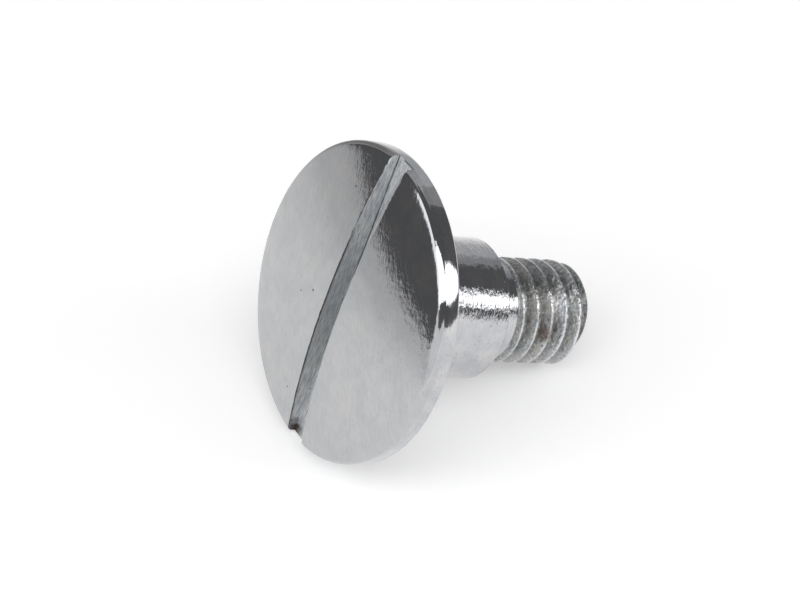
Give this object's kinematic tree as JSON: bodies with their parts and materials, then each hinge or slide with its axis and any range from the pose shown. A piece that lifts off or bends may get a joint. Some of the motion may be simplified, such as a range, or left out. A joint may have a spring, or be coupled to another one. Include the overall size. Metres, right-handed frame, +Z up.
{
  "type": "slotted shoulder screw",
  "caption": "Bright plated screw with a broad low-domed slotted head, a plain cylindrical shoulder and a short metric thread.",
  "frame": {"origin": "middle of the seat under the head, on the screw's axis", "axes": "+Z is up from the surface the loose screw lies on; the screw's axis lies in the XZ plane, with the head at -X and the thread pointing to +X and 24.1 degrees down"},
  "size_m": [0.0183, 0.018, 0.0168],
  "materials": {
    "plated_steel": "bright plating with fine turning marks"
  },
  "bodies": {
    "root": {"screw": "plated_steel"}
  },
  "joints": []
}
